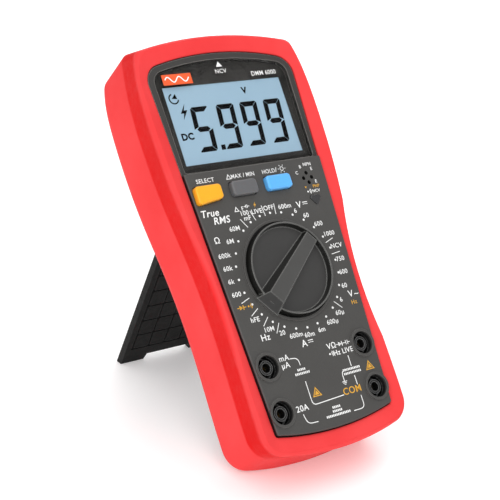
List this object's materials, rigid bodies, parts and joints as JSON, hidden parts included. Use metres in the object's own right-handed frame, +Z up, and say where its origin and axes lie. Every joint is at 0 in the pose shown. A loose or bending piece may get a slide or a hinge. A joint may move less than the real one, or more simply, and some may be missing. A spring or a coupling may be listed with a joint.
{
  "type": "digital multimeter",
  "caption": "Hand-held digital multimeter in a red rubber boot, with rotary selector, soft keys, backlit display and input sockets, leaning on its open tilt stand.",
  "frame": {"origin": "on the bench, at the centre of the standing meter's footprint", "axes": "+Z up, +X to the reader's right, +Y away from the reader: the panel faces -Y and leans back 38 degrees"},
  "size_m": [0.0884, 0.14, 0.1629],
  "materials": {
    "boot_rubber": "satin red thermoplastic rubber, fine spark texture",
    "panel_plastic": "matte charcoal moulded plastic",
    "rear_plastic": "matte near-black moulded plastic",
    "clear_window": "clear hard-coated acrylic",
    "window_print": "black back print",
    "lcd_panel": "backlit pale blue display",
    "light_guide": "translucent white light guide",
    "white_plastic": "natural white acetal",
    "contact_rubber": "striped conductive rubber",
    "knob_plastic": "satin charcoal plastic",
    "white_print": "white print",
    "spring_steel": "bright steel",
    "plated_contact": "gold-plated contact metal",
    "switch_body": "black switch housing",
    "dark_lens": "dark tinted lens",
    "clear_resin": "clear resin",
    "jack_plastic": "black nylon",
    "board_laminate": "green glass-epoxy laminate",
    "chip_body": "black moulded package",
    "capacitor_can": "aluminium can",
    "disc_coating": "ochre resin coating",
    "shunt_wire": "bare alloy wire",
    "fuse_ceramic": "ceramic tube with nickel caps",
    "cell_jacket": "plain printed jacket",
    "screw_steel": "zinc-plated steel",
    "stand_plastic": "matte black plastic",
    "yellow_silicone": "satin yellow silicone",
    "grey_silicone": "satin grey silicone",
    "blue_silicone": "satin blue silicone",
    "brass_contact": "nickel-plated brass"
  },
  "bodies": {
    "meter": {"protective_boot": "boot_rubber", "front_case": "panel_plastic", "rear_case": "rear_plastic", "battery_cover": "rear_plastic", "display_window": "clear_window", "window_mask": "window_print", "lcd_glass": "lcd_panel", "lcd_backlight": "light_guide", "lcd_holder": "white_plastic", "zebra_strips": "contact_rubber", "detent_ring": "white_plastic", "switch_tracks": "plated_contact", "tact_switches": "switch_body", "indicator_lens": "dark_lens", "indicator_led": "clear_resin", "transistor_socket": "jack_plastic", "main_board": "board_laminate", "meter_chip": "chip_body", "chip_capacitors": "capacitor_can", "input_thermistor": "disc_coating", "buzzer": "jack_plastic", "field_antenna": "plated_contact", "current_shunt": "shunt_wire", "fuse_clips": "plated_contact", "battery_cells": "cell_jacket", "battery_springs": "spring_steel", "battery_plates": "plated_contact", "case_screws": "screw_steel", "cover_screws": "screw_steel", "board_screws": "screw_steel", "stand_pin": "spring_steel", "milliamp_fuse": "fuse_ceramic", "twenty_amp_fuse": "fuse_ceramic", "volt_ohm_sleeve": "jack_plastic", "volt_ohm_contact": "brass_contact", "common_sleeve": "jack_plastic", "common_contact": "brass_contact", "milliamp_sleeve": "jack_plastic", "milliamp_contact": "brass_contact", "twenty_amp_sleeve": "jack_plastic", "twenty_amp_contact": "brass_contact"},
    "selector": {"selector_knob": "knob_plastic", "switch_rotor": "white_plastic", "detent_springs": "spring_steel", "detent_balls": "spring_steel", "retaining_clip": "spring_steel", "switch_wipers": "plated_contact"},
    "select_button": {"select_key": "yellow_silicone"},
    "max_min_button": {"max_min_key": "grey_silicone"},
    "hold_button": {"hold_key": "blue_silicone"},
    "stand": {"tilt_stand": "stand_plastic"}
  },
  "joints": [
    {"name": "selector_turn", "type": "hinge", "parent": "meter", "child": "selector", "pos_m": [0, -0.02322, 0.0782], "axis": [0, -0.788, 0.6157], "continuous": true},
    {"name": "select_press", "type": "slide", "parent": "meter", "child": "select_button", "axis": [0, 0.788, -0.6157], "range_m": [0, 0.001], "stiffness_N_per_m": 1500, "springref_m": -0.0004},
    {"name": "max_min_press", "type": "slide", "parent": "meter", "child": "max_min_button", "axis": [0, 0.788, -0.6157], "range_m": [0, 0.001], "stiffness_N_per_m": 1500, "springref_m": -0.0004},
    {"name": "hold_press", "type": "slide", "parent": "meter", "child": "hold_button", "axis": [0, 0.788, -0.6157], "range_m": [0, 0.001], "stiffness_N_per_m": 1500, "springref_m": -0.0004},
    {"name": "stand_fold", "type": "hinge", "parent": "meter", "child": "stand", "pos_m": [0, 0.03064, 0.08396], "axis": [-1, 0, 0], "range_deg": [0, 62]}
  ]
}
